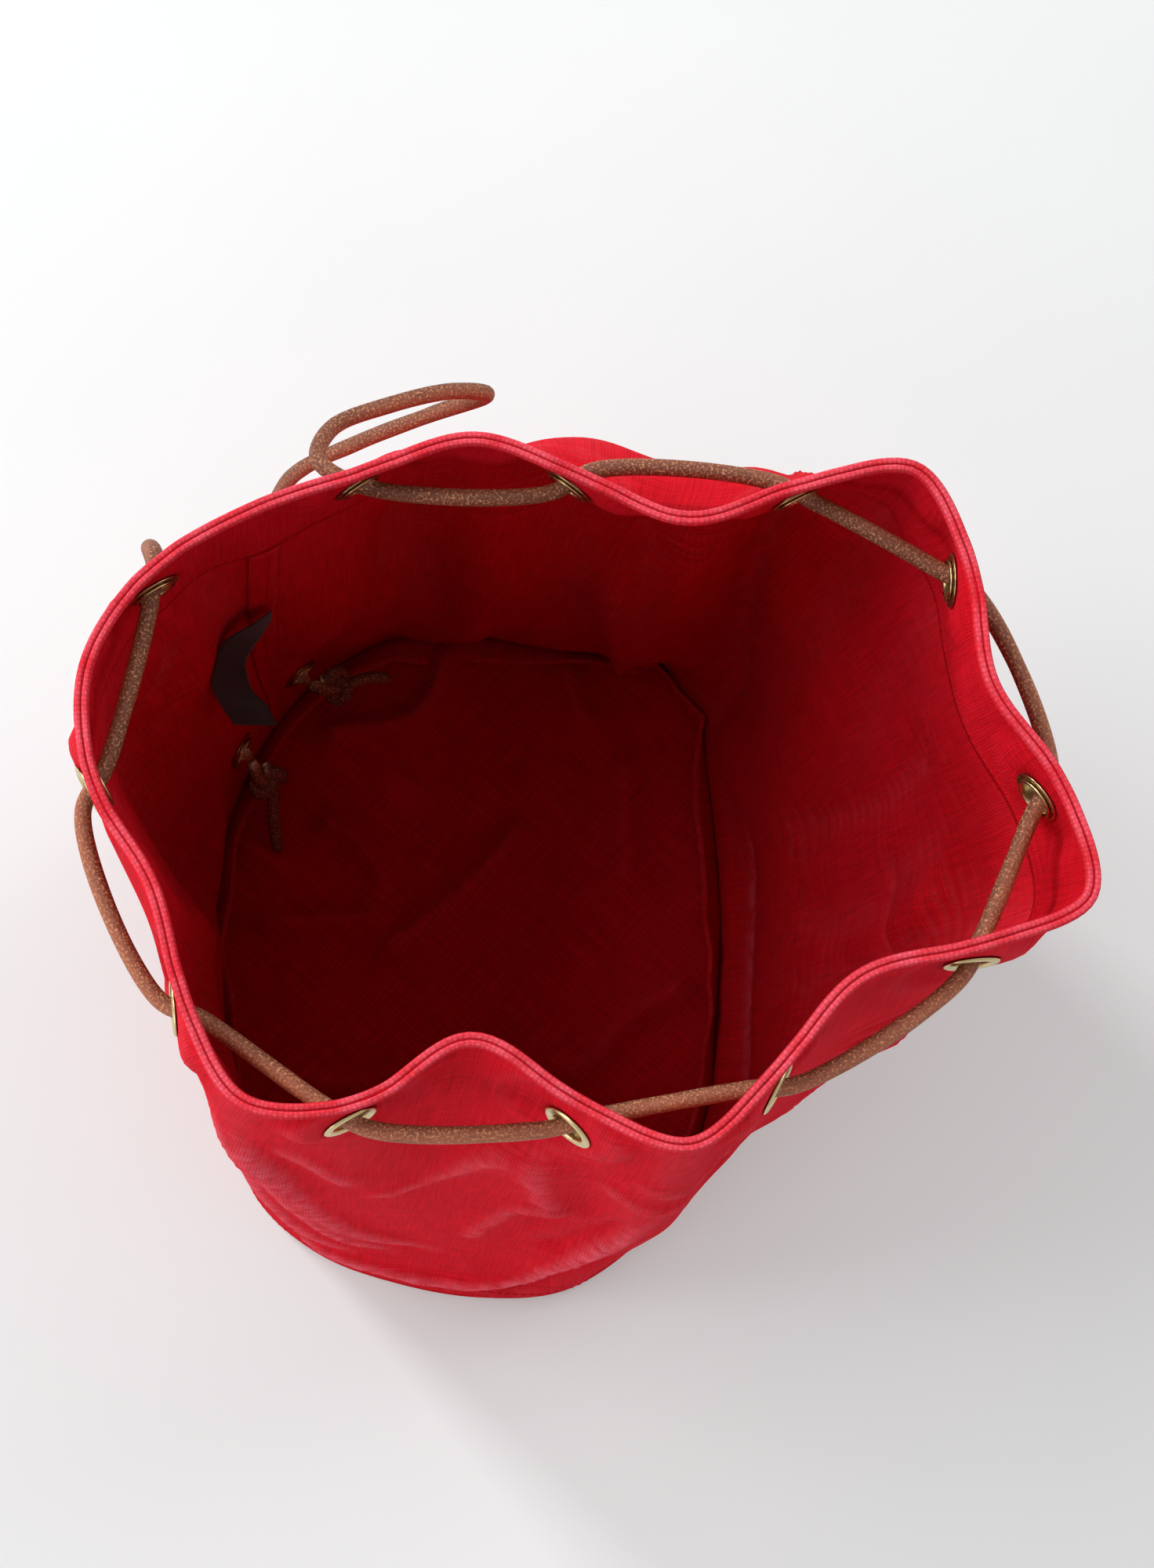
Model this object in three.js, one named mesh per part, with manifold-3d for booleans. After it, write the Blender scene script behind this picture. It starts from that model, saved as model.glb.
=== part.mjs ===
// Drawstring backpack: a canvas bucket bag that stands open on its oval base.
// One leather cord is threaded through the eyelets of the mouth, and its two ends run
// down the outside of the back as shoulder straps and are knotted inside two low eyelets.
// Millimetres, +Z up, the back seam towards +Y, the middle of the floor print at the origin.
import * as THREE from 'three';
import { mergeGeometries, mergeVertices } from 'three/addons/utils/BufferGeometryUtils.js';
import { ParametricGeometry } from 'three/addons/geometries/ParametricGeometry.js';
import Module from 'manifold-3d';

// Canvas body
const GIRTH = 840; // cloth round the body, the same at every height
const HEIGHT = 380; // floor to mouth edge as the bag stands
const CANVAS = 0.9; // one layer of cloth
const BASE_THICKNESS = 2; // two layers of cloth, sewn flat
const FACING_DEPTH = 48; // band of cloth sewn inside the mouth
const BINDING_HEIGHT = 10; // turned edges of the base seam, inside
const FIT_GAP = 0.3; // between pieces that lie on each other
const WAVE_FADE = 2.2; // how fast the waves of the mouth die away downwards

// Eyelets
const EYELET_COUNT = 12; // evenly spaced round the mouth, the back seam between two of them
const EYELET_DROP = 21; // mouth edge to eyelet centre
const HOLE_DIAMETER = 10.4; // clear bore
const FLANGE_DIAMETER = 16.6;
const BARREL_WALL = 0.6;
const FLANGE_THICKNESS = 0.9;
const WASHER_THICKNESS = 0.6;
const ROLL_THICKNESS = 0.7; // barrel end rolled over the washer
const FLANGE_SIDES = 12;
const FLAT_MARGIN = 1.6; // cloth pressed flat round a flange
const EYELET_TILT = 14; // degrees by which the cord's pull turns each mouth eyelet
const STRAP_EYELET_HEIGHT = 50; // floor to the centre of a low eyelet
const STRAP_EYELET_OFFSET = 21; // back seam to the centre of a low eyelet, along the cloth

// Leather cord: one length for the mouth and both straps, a knot with a tail at each end
const CORD_DIAMETER = 5.2;
const CORD_SIDES = 8;
const STRAP_LEFT_LENGTH = 318; // cord from the left knot to where the strap bends over to the mouth
const STRAP_RIGHT_LENGTH = 388;
const STRAP_LEFT_STEPS = 15;
const MOUTH_STEPS = 52;
const STRAP_RIGHT_STEPS = 17;
const KNOT_RADIUS = 6.3;
const KNOT_SPAN = 5; // straight middle of a knot
const KNOT_CAP_STEPS = 3;
const TAIL_STEPS = 5;
const CORD_ROUTE = [
  // up the left strap from its knot
  [-12, 140.5, 45.5], [-15.5, 153, 55.5], [-16.5, 157, 82], [-15, 150, 150], [-12, 136, 335],
  // in and out through the mouth eyelets, a point on each side of the cloth
  [-17, 124, 358.5], [-30, 114.5, 358.5], [-72.5, 92, 358.5], [-88, 87, 358.5],
  [-113.4, 34, 358.5], [-109.5, 19, 358.5], [-105, -23.5, 358.5], [-101, -39, 358.5],
  [-69.5, -75.5, 358.5], [-56.5, -85, 358.5], [-23, -112, 358.5], [-11, -123, 358.5],
  [41, -138.5, 358.5], [56.5, -135.5, 358.5], [92.5, -124.5, 358.5], [107.5, -120, 358.5],
  [135.5, -70, 358.5], [134, -54, 358.5], [127, -16.3, 358.5], [122.3, 1.4, 358.5],
  [91.5, 42.3, 358.5], [76.2, 48.6, 358.5], [44, 87.5, 358.5], [38.5, 102.5, 358.5],
  // out into a slack loop and down the right strap to its knot
  [40, 110, 356], [52, 115, 349], [70, 109, 342], [88, 100, 334], [98, 94, 322], [86, 107, 307],
  [66, 124, 291], [47, 141, 265], [30, 160, 85], [28.5, 157.5, 55.3], [27.3, 144, 45.5],
];
const LEFT_TAIL = [[-10, 134, 42], [-15, 128, 36], [-21, 123, 28]];
const RIGHT_TAIL = [[26.5, 138, 42], [38, 133, 41], [50, 128, 38]];

// Woven label, sewn into the back seam by one short edge
const LABEL_WIDTH = 18;
const LABEL_THICKNESS = 0.6;
const LABEL_DROP = 140; // mouth edge to the middle of the label

// Floor print, counter-clockwise from the foot of the back seam
const BASE_OUTLINE = [
  [6, 152], [-60, 124], [-113, 72], [-147, 13], [-129, -52], [-84, -102],
  [-16, -105], [43, -70], [95, -24], [135, 32], [112, 89], [68, 143],
];

// Mouth edge, counter-clockwise from the back seam: a point at every eyelet and one between
const MOUTH_OUTLINE = [
  [11, 106], [-23, 116], [-56, 110], [-80, 85], [-91, 52], [-109, 23],
  [-119, -9], [-97, -35], [-65, -46], [-59, -79], [-47, -111], [-14, -116],
  [20, -117], [49, -137], [80, -151], [101, -124], [111, -91], [134, -65],
  [147, -33], [121, -10], [92, 8], [82, 39], [70, 71], [41, 89],
];

const wasm = await Module();
wasm.setup();

// Closed curve through points, and evenly spaced points along it
const closedCurve = (points) => {
  const curve = new THREE.CatmullRomCurve3(points, true, 'centripetal');
  curve.arcLengthDivisions = 1200;
  return curve;
};
const evenPoints = (curve, count) => curve.getSpacedPoints(count).slice(0, count);
const flatPoints = (pairs) => pairs.map(([x, y]) => new THREE.Vector3(x, y, 0));

// The mouth with its waves smoothed out: a mean over one wave, which is four points long
const mouth = flatPoints(MOUTH_OUTLINE);
const calmMouth = mouth.map((_, i) => {
  const mean = new THREE.Vector3();
  [0.5, 1, 1, 1, 0.5].forEach((weight, k) => {
    mean.addScaledVector(mouth[(i + k - 2 + mouth.length) % mouth.length], weight / 4);
  });
  return mean;
});
const floorPrint = evenPoints(closedCurve(flatPoints(BASE_OUTLINE)), mouth.length);

// Stations round the cloth: every eyelet has a facet wider than its flange, with two on each side
const FACETS_PER_EYELET = 5;
const STATIONS = FACETS_PER_EYELET * EYELET_COUNT;
const flatHalf = FLANGE_DIAMETER / 2 + FLAT_MARGIN;
const pitch = GIRTH / EYELET_COUNT;
const side = (pitch / 2 - flatHalf) / 2;
const mouthPattern = [0, side, 2 * side, pitch - 2 * side, pitch - side];
const strapPattern = [
  0, STRAP_EYELET_OFFSET - flatHalf, STRAP_EYELET_OFFSET + flatHalf, pitch - 2 * side, pitch - side];
const strapBand = [STRAP_EYELET_HEIGHT - flatHalf, STRAP_EYELET_HEIGHT + flatHalf];
function stationShare(i, height) {
  if (i > STATIONS / 2) return 1 - stationShare(STATIONS - i, height);
  const pattern = height > strapBand[1] ? mouthPattern : strapPattern;
  return (Math.floor(i / FACETS_PER_EYELET) * pitch + pattern[i % FACETS_PER_EYELET]) / GIRTH;
}

// Cloth outline at a height: points that go once round the full girth
function clothRing(height) {
  const rise = height / HEIGHT;
  const points = mouth.map((edge, i) => {
    const wave = edge.clone().sub(calmMouth[i]).multiplyScalar(rise ** WAVE_FADE);
    return floorPrint[i].clone().lerp(calmMouth[i], rise).add(wave);
  });
  const curve = closedCurve(points);
  const middle = points.reduce((sum, p) => sum.add(p), new THREE.Vector3()).divideScalar(points.length);
  const scale = GIRTH / curve.getLength();
  return Array.from({ length: STATIONS }, (_, i) =>
    curve.getPointAt(stationShare(i, height)).sub(middle).multiplyScalar(scale).add(middle).setZ(height));
}

// One face of cloth through a stack of rings. Both faces split their facets the same way,
// so layers that lie on each other stay parallel where the cloth twists.
function clothFace(rings, facesOut) {
  const rows = rings.length - 1;
  const pointAt = (round, up, target) =>
    target.copy(rings[Math.round(up * rows)][Math.round(round * STATIONS) % STATIONS]);
  return facesOut
    ? new ParametricGeometry((u, v, target) => pointAt(u, v, target), STATIONS, rows)
    : new ParametricGeometry((u, v, target) => pointAt(v, u, target), rows, STATIONS);
}

// Heights at which the cloth is drawn: flat bands carry the two rows of eyelets
const eyeletHeight = HEIGHT - EYELET_DROP;
const labelHeight = HEIGHT - LABEL_DROP;
const bindingHeights = [BASE_THICKNESS + FIT_GAP, BASE_THICKNESS + FIT_GAP + BINDING_HEIGHT];
const mouthHeights = [HEIGHT - FACING_DEPTH, eyeletHeight - flatHalf, eyeletHeight + flatHalf, HEIGHT];
const between = (low, high, share) => THREE.MathUtils.lerp(low, high, share);
const bodyHeights = [
  between(strapBand[1], labelHeight, 1 / 3), between(strapBand[1], labelHeight, 2 / 3),
  labelHeight, between(labelHeight, mouthHeights[0], 1 / 2)];
const wallHeights = [...bindingHeights, ...strapBand, ...bodyHeights, ...mouthHeights];

// Rings of the cloth, and the direction in which further layers lie at each of their points
const rings = new Map(wallHeights.map((height) => [height, clothRing(height)]));
const inward = new Map(wallHeights.map((height) => {
  const ring = rings.get(height);
  return [height, ring.map((_, i) => {
    const along = ring[(i + 1) % STATIONS].clone().sub(ring[(i + STATIONS - 1) % STATIONS]);
    return new THREE.Vector3(-along.y, along.x, 0).normalize();
  })];
}));

// An eyelet presses one facet of the cloth flat and turns it: its middle and outward direction
const up = new THREE.Vector3(0, 0, 1);
function pressSeat([lowHeight, highHeight], station, tilt) {
  const after = (station + 1) % STATIONS;
  const spots = [[lowHeight, station], [lowHeight, after], [highHeight, after], [highHeight, station]];
  const corners = spots.map(([height, i]) => rings.get(height)[i]);
  const centre = corners.reduce((sum, p) => sum.add(p), new THREE.Vector3()).divideScalar(corners.length);
  const rising = corners[2].clone().sub(corners[0]);
  const outward = rising.cross(corners[3].clone().sub(corners[1])).normalize();
  corners.forEach((p) => p.addScaledVector(outward, outward.dot(centre.clone().sub(p))));
  corners.forEach((p) => p.sub(centre).applyAxisAngle(up, tilt).add(centre));
  outward.applyAxisAngle(up, tilt);
  spots.forEach(([height, i]) => inward.get(height)[i].copy(outward).negate());
  return { centre, outward };
}
const tilt = THREE.MathUtils.degToRad(EYELET_TILT);
const middleFacet = (FACETS_PER_EYELET - 1) / 2;
const mouthSeats = Array.from({ length: EYELET_COUNT }, (_, i) =>
  pressSeat(mouthHeights.slice(1, 3), FACETS_PER_EYELET * i + middleFacet, i % 2 ? tilt : -tilt));
const STRAP_FACET = 1;
const strapSeats = [STRAP_FACET, STATIONS - 1 - STRAP_FACET].map((i) => pressSeat(strapBand, i, 0));

// A closed band of cloth between heights, its outer face moved inwards by an inset
function clothBand(heights, inset, thickness) {
  const layer = (depth) => heights.map((height) =>
    rings.get(height).map((p, i) => p.clone().addScaledVector(inward.get(height)[i], depth)));
  const outer = layer(inset);
  const inner = layer(inset + thickness);
  return mergeGeometries([
    clothFace(outer, true),
    clothFace(inner, false),
    clothFace([outer.at(-1), inner.at(-1)], true),
    clothFace([inner[0], outer[0]], true),
  ]);
}

// Solids for cutting and joining
function solidOf(geometry) {
  const bare = geometry.clone();
  bare.deleteAttribute('normal');
  bare.deleteAttribute('uv');
  const merged = mergeVertices(bare, 1e-4);
  return new wasm.Manifold(new wasm.Mesh({
    numProp: 3,
    vertProperties: new Float32Array(merged.attributes.position.array),
    triVerts: new Uint32Array(merged.index.array),
  }));
}
function geometryOf(solid) {
  const mesh = solid.getMesh();
  const geometry = new THREE.BufferGeometry();
  geometry.setAttribute('position', new THREE.BufferAttribute(new Float32Array(mesh.vertProperties), 3));
  geometry.setIndex(new THREE.BufferAttribute(new Uint32Array(mesh.triVerts), 1));
  return geometry;
}

const bag = new THREE.Group();
const canvas = { color: 0xb5121f, roughness: 0.9, metalness: 0 };
const brass = { color: 0xd9c48c, roughness: 0.3, metalness: 1 };
const leather = { color: 0x70432c, roughness: 0.7, metalness: 0 };
const ribbon = { color: 0x1d211f, roughness: 0.6, metalness: 0 };
function addPiece(name, geometry, finish) {
  const mesh = new THREE.Mesh(geometry, new THREE.MeshStandardMaterial(finish));
  mesh.name = name;
  bag.add(mesh);
  return mesh;
}

const axis = new THREE.Vector3(0, 1, 0);

// Holes for the barrels, cut square to the cloth
const barrelRadius = HOLE_DIAMETER / 2 + BARREL_WALL;
const CUT_REACH = 12;
function cutHoles(geometry, seats) {
  let solid = solidOf(geometry);
  for (const seat of seats) {
    const cutter = new THREE.CylinderGeometry(
      barrelRadius + FIT_GAP, barrelRadius + FIT_GAP, CUT_REACH, FLANGE_SIDES);
    cutter.applyQuaternion(new THREE.Quaternion().setFromUnitVectors(axis, seat.outward));
    cutter.translate(seat.centre.x, seat.centre.y, seat.centre.z);
    solid = solid.subtract(solidOf(cutter));
  }
  return geometryOf(solid);
}

// Canvas: base, wall, facing and the turned seam edges inside the base
const floorShape = new THREE.Shape(clothRing(0).map((p) => new THREE.Vector2(p.x, p.y)));
addPiece('base_panel', new THREE.ExtrudeGeometry(floorShape, { depth: BASE_THICKNESS, bevelEnabled: false }), canvas);
addPiece('body_wall', cutHoles(clothBand(wallHeights, 0, CANVAS), [...mouthSeats, ...strapSeats]), canvas);
addPiece('mouth_facing', cutHoles(clothBand(mouthHeights, CANVAS + FIT_GAP, CANVAS), mouthSeats), canvas);
addPiece('base_seam_binding', clothBand(bindingHeights, CANVAS + FIT_GAP, CANVAS), canvas);

// Eyelet: flange outside, barrel through the cloth, its end rolled over a washer inside.
// The profile is drawn as radius and distance outwards from the outer face of the cloth.
function addEyelet(name, seat, layers) {
  const bore = HOLE_DIAMETER / 2;
  const rim = FLANGE_DIAMETER / 2;
  const front = FIT_GAP + FLANGE_THICKNESS;
  const clothBack = -(layers * CANVAS + (layers - 1) * FIT_GAP);
  const washerFront = clothBack - FIT_GAP;
  const washerBack = washerFront - WASHER_THICKNESS;
  const rollFront = washerBack - FIT_GAP;
  const rollBack = rollFront - ROLL_THICKNESS;
  const flare = (rim - bore) / 2;
  const eyeletProfile = [
    [barrelRadius, FIT_GAP], [rim, FIT_GAP], [rim - flare / 2, front], [bore + flare / 2, front],
    [bore, FIT_GAP], [bore, washerFront], [bore + flare / 2, rollBack], [bore + flare, rollBack],
    [bore + flare, rollFront], [barrelRadius, rollFront],
  ];
  const washerProfile = [
    [barrelRadius + FIT_GAP, washerFront], [barrelRadius + FIT_GAP, washerBack],
    [rim, washerBack], [rim, washerFront],
  ];
  const turn = (profile) => {
    const closed = [...profile, profile[0]].map(([r, y]) => new THREE.Vector2(r, y));
    return new THREE.LatheGeometry(closed, FLANGE_SIDES);
  };
  const place = (mesh) => {
    mesh.quaternion.setFromUnitVectors(axis, seat.outward);
    mesh.position.copy(seat.centre);
  };
  place(addPiece(name, turn(eyeletProfile), brass));
  place(addPiece(`${name}_washer`, turn(washerProfile), brass));
}
mouthSeats.forEach((seat, i) => addEyelet(`mouth_eyelet_${i + 1}`, seat, 2));
addEyelet('strap_eyelet_left', strapSeats[0], 1);
addEyelet('strap_eyelet_right', strapSeats[1], 1);

// Label: along the cloth from the back seam, then curled away from it
const labelRing = rings.get(labelHeight);
const labelInward = inward.get(labelHeight);
const labelSlant = LABEL_WIDTH / 2 * (labelRing[0].y - rings.get(mouthHeights[0])[0].y)
  / (labelHeight - mouthHeights[0]);
const labelInset = CANVAS + FIT_GAP + LABEL_THICKNESS / 2 + Math.abs(labelSlant);
const LABEL_CURL = [12, 20]; // distances from the cloth at the curl and at the free end
const labelSpot = (station, extra) =>
  labelRing[station].clone().addScaledVector(labelInward[station], labelInset + extra);
const labelLine = new THREE.CatmullRomCurve3(
  [labelSpot(0, 0), labelSpot(1, 1), labelSpot(2, LABEL_CURL[0]), labelSpot(1, LABEL_CURL[1])]);
const LABEL_STEPS = 10;
const labelSides = [-LABEL_THICKNESS / 2, LABEL_THICKNESS / 2].map((offset) =>
  Array.from({ length: LABEL_STEPS + 1 }, (_, i) => {
    const at = labelLine.getPoint(i / LABEL_STEPS);
    const along = labelLine.getTangent(i / LABEL_STEPS);
    return new THREE.Vector2(at.x - along.y * offset, at.y + along.x * offset);
  }));
const labelShape = new THREE.Shape([...labelSides[0], ...labelSides[1].reverse()]);
const label = addPiece('label',
  new THREE.ExtrudeGeometry(labelShape, { depth: LABEL_WIDTH, bevelEnabled: false }), ribbon);
label.position.z = labelHeight - LABEL_WIDTH / 2;

// Cord: three stretches of one smooth curve, each a tube of its own
const spacePoints = (triples) => triples.map(([x, y, z]) => new THREE.Vector3(x, y, z));
const cordLine = new THREE.CatmullRomCurve3(spacePoints(CORD_ROUTE));
cordLine.arcLengthDivisions = 1600;
const cordLength = cordLine.getLength();
class CordStretch extends THREE.Curve {
  constructor(start, end) {
    super();
    this.start = start / cordLength;
    this.end = end / cordLength;
  }

  getPoint(t, target) {
    return cordLine.getPointAt(THREE.MathUtils.lerp(this.start, this.end, t), target);
  }
}
const cordSection = new THREE.Shape(Array.from({ length: CORD_SIDES }, (_, i) => {
  const turn = (i + 0.5) / CORD_SIDES * 2 * Math.PI;
  return new THREE.Vector2(Math.cos(turn), Math.sin(turn)).multiplyScalar(CORD_DIAMETER / 2);
}));
const cordTube = (path, steps) =>
  new THREE.ExtrudeGeometry(cordSection, { steps, bevelEnabled: false, extrudePath: path });
const mouthStart = STRAP_LEFT_LENGTH + FIT_GAP;
const mouthEnd = cordLength - STRAP_RIGHT_LENGTH;
addPiece('strap_left', cordTube(new CordStretch(0, STRAP_LEFT_LENGTH), STRAP_LEFT_STEPS), leather);
addPiece('mouth_cord', cordTube(new CordStretch(mouthStart, mouthEnd), MOUTH_STEPS), leather);
addPiece('strap_right', cordTube(new CordStretch(mouthEnd + FIT_GAP, cordLength), STRAP_RIGHT_STEPS), leather);

// Knots: a lump at each end of the cord, with its tail
function addKnot(name, cordEnd, tail) {
  const tailLine = new THREE.CatmullRomCurve3(spacePoints(tail));
  const lump = new THREE.CapsuleGeometry(KNOT_RADIUS, KNOT_SPAN, KNOT_CAP_STEPS, CORD_SIDES);
  const towardsKnot = tailLine.getPoint(0).sub(cordEnd).normalize();
  const across = tailLine.getTangent(0).projectOnPlane(towardsKnot).normalize();
  lump.applyQuaternion(new THREE.Quaternion().setFromUnitVectors(axis, across));
  const centre = cordEnd.clone().addScaledVector(towardsKnot, KNOT_RADIUS + FIT_GAP);
  lump.translate(centre.x, centre.y, centre.z);
  const solid = solidOf(lump).add(solidOf(cordTube(tailLine, TAIL_STEPS)));
  addPiece(name, geometryOf(solid), leather);
}
addKnot('knot_left', cordLine.getPoint(0), LEFT_TAIL);
addKnot('knot_right', cordLine.getPoint(1), RIGHT_TAIL);

export default bag;
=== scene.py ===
# Drawstring backpack: a red canvas bucket bag standing open on its oval base, with a leather cord
# threaded through brass eyelets round its mouth and run down the back as shoulder straps.
# Metres, +Z up, the back seam towards +Y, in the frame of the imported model.
import math

import bpy
import numpy as np
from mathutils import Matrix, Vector


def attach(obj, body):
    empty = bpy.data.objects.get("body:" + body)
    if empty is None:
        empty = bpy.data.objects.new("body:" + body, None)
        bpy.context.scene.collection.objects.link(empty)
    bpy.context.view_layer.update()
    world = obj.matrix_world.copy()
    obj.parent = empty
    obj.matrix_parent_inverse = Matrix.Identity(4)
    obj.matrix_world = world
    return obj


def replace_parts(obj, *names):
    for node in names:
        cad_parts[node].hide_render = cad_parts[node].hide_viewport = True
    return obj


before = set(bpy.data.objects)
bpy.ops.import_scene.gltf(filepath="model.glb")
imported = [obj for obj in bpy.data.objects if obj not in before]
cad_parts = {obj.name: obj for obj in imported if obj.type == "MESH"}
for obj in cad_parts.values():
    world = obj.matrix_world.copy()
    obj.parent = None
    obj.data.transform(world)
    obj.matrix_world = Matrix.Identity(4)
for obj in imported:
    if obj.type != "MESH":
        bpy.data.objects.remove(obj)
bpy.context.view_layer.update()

# Camera
# It stands before the bag and high above it, and looks steeply down into the open mouth.
# The lens is the one that gives the mouth and the base their sizes in a frame of 1472 x 2000.
camera_place = Vector((-0.1161, -0.1286, 1.1003))
camera_aim = Vector((0.0099, -0.0201, 0.380))
camera = bpy.data.objects.new("camera", bpy.data.cameras.new("camera"))
camera.location = camera_place
camera.rotation_euler = (camera_aim - camera_place).to_track_quat("-Z", "Y").to_euler()
camera.data.sensor_fit = "VERTICAL"
camera.data.sensor_height = 36
camera.data.lens = 59.4
bpy.context.scene.collection.objects.link(camera)
bpy.context.scene.camera = camera
bpy.context.scene.view_settings.view_transform = "Standard"

# Leather cord
# One round lace of vegetable-tanned leather. It goes in and out through the eyelets of the mouth,
# and both ends go down the back as straps and in through the low eyelets, where they are knotted.
MM = 0.001
cord_diameter = 5.2 * MM
cord_route = np.array([
    # up the left strap from its knot
    [-12, 140.5, 45.5], [-15.5, 153, 55.5], [-16.5, 157, 82], [-15, 150, 150], [-12, 136, 335],
    # in and out through the mouth eyelets, a point on each side of the cloth
    [-17, 124, 358.5], [-30, 114.5, 358.5], [-72.5, 92, 358.5], [-88, 87, 358.5],
    [-113.4, 34, 358.5], [-109.5, 19, 358.5], [-105, -23.5, 358.5], [-101, -39, 358.5],
    [-69.5, -75.5, 358.5], [-56.5, -85, 358.5], [-23, -112, 358.5], [-11, -123, 358.5],
    [41, -138.5, 358.5], [56.5, -135.5, 358.5], [92.5, -124.5, 358.5], [107.5, -120, 358.5],
    [135.5, -70, 358.5], [134, -54, 358.5], [127, -16.3, 358.5], [122.3, 1.4, 358.5],
    [91.5, 42.3, 358.5], [76.2, 48.6, 358.5], [44, 87.5, 358.5], [38.5, 102.5, 358.5],
    # out into a slack loop and down the right strap to its knot
    [40, 110, 356], [52, 115, 349], [70, 109, 342], [88, 100, 334], [98, 94, 322], [86, 107, 307],
    [66, 124, 291], [47, 141, 265], [30, 160, 85], [28.5, 157.5, 55.3], [27.3, 144, 45.5],
]) * MM


def curve_through(points, closed=False, steps=24):
    """A fine line along the smooth curve through the points."""
    if closed:
        points = np.vstack([points[-1:], points, points[:2]])
    else:
        points = np.vstack([2 * points[:1] - points[1:2], points, 2 * points[-1:] - points[-2:-1]])
    spans = np.sqrt(np.linalg.norm(np.diff(points, axis=0), axis=1))[:, None, None]
    before, start, end, after = (points[i:len(points) - 3 + i, None] for i in range(4))
    d0, d1, d2 = spans[:-2], spans[1:-1], spans[2:]
    leave = d1 * ((start - before) / d0 - (end - before) / (d0 + d1) + (end - start) / d1)
    arrive = d1 * ((end - start) / d1 - (after - start) / (d1 + d2) + (after - end) / d2)
    t = (np.arange(steps) / steps)[None, :, None]
    line = (start + leave * t + (3 * end - 3 * start - 2 * leave - arrive) * t ** 2
            + (2 * start - 2 * end + leave + arrive) * t ** 3).reshape(-1, points.shape[1])
    return line if closed else np.vstack([line, points[-2:-1]])


def at_shares(line, shares):
    """Points at the given shares of a line's length, and that length."""
    along = np.concatenate([[0], np.cumsum(np.linalg.norm(np.diff(line, axis=0), axis=1))])
    spots = np.asarray(shares) * along[-1]
    return np.stack([np.interp(spots, along, line[:, k]) for k in range(line.shape[1])], axis=1), along[-1]


def srgb(code):
    """A hex colour as the linear colour that a shader takes."""
    parts = [int(code[i:i + 2], 16) / 255 for i in (1, 3, 5)]
    return [p / 12.92 if p <= 0.04045 else ((p + 0.055) / 1.055) ** 2.4 for p in parts] + [1]


def add(tree, kind, inputs=(), **settings):
    """Adds a shader node with its settings, and sets or links its inputs by name or number."""
    made = tree.nodes.new(kind)
    for name, value in settings.items():
        setattr(made, name, value)
    for socket, value in dict(inputs).items():
        if isinstance(value, bpy.types.NodeSocket):
            tree.links.new(value, made.inputs[socket])
        else:
            made.inputs[socket].default_value = value
    return made


def new_material(name):
    """An empty material, and its node tree with the output that its shader is linked to."""
    material = bpy.data.materials.new(name)
    material.use_nodes = True
    material.node_tree.nodes.clear()
    return material, material.node_tree


def add_piece(name, vertices, faces, material, slot, uv=None, smooth=True, **attributes):
    """A mesh that rides on the bag, with a texture map in metres and a number at each vertex."""
    mesh = bpy.data.meshes.new(name)
    mesh.from_pydata(np.asarray(vertices).tolist(), [], [list(face) for face in faces])
    if uv is not None:
        layer = mesh.uv_layers.new(name="cloth")
        layer.data.foreach_set("uv", np.asarray(uv, np.float32).reshape(-1))
    for attribute, values in attributes.items():
        mesh.attributes.new(attribute, "FLOAT", "POINT").data.foreach_set(
            "value", np.asarray(values, np.float32))
    mesh.polygons.foreach_set("use_smooth", [smooth] * len(mesh.polygons))
    mesh.materials.append(material)
    piece = bpy.data.objects.new(name, mesh)
    bpy.context.scene.collection.objects.link(piece)
    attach(piece, "root")
    return piece


def grid_faces(rows, columns, closed):
    """Quads between rows of points, and each corner's column and row for a texture map."""
    across = columns if closed else columns - 1
    i, j = np.meshgrid(np.arange(across), np.arange(rows - 1))
    i, j = i.reshape(-1), j.reshape(-1)
    corner = np.stack([np.stack(pair) for pair in ((i, j), (i + 1, j), (i + 1, j + 1), (i, j + 1))])
    faces = corner[:, 1] * columns + corner[:, 0] % columns
    return faces.T, corner.transpose(2, 0, 1)


def tube(line, radii, sides):
    """Rings of points round a line, each with the way round it and along it in metres."""
    ahead = np.gradient(line, axis=0)
    ahead /= np.linalg.norm(ahead, axis=1)[:, None]
    side = np.cross(ahead[0], [0.3, 0.2, 1.0])
    rings = []
    for point, way, radius in zip(line, ahead, radii):
        side = side - way * side.dot(way)
        side /= np.linalg.norm(side)
        over = np.cross(way, side)
        turn = np.arange(sides) / sides * 2 * math.pi
        rings.append(point + radius * (np.outer(np.cos(turn), side) + np.outer(np.sin(turn), over)))
    return np.array(rings)


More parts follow.
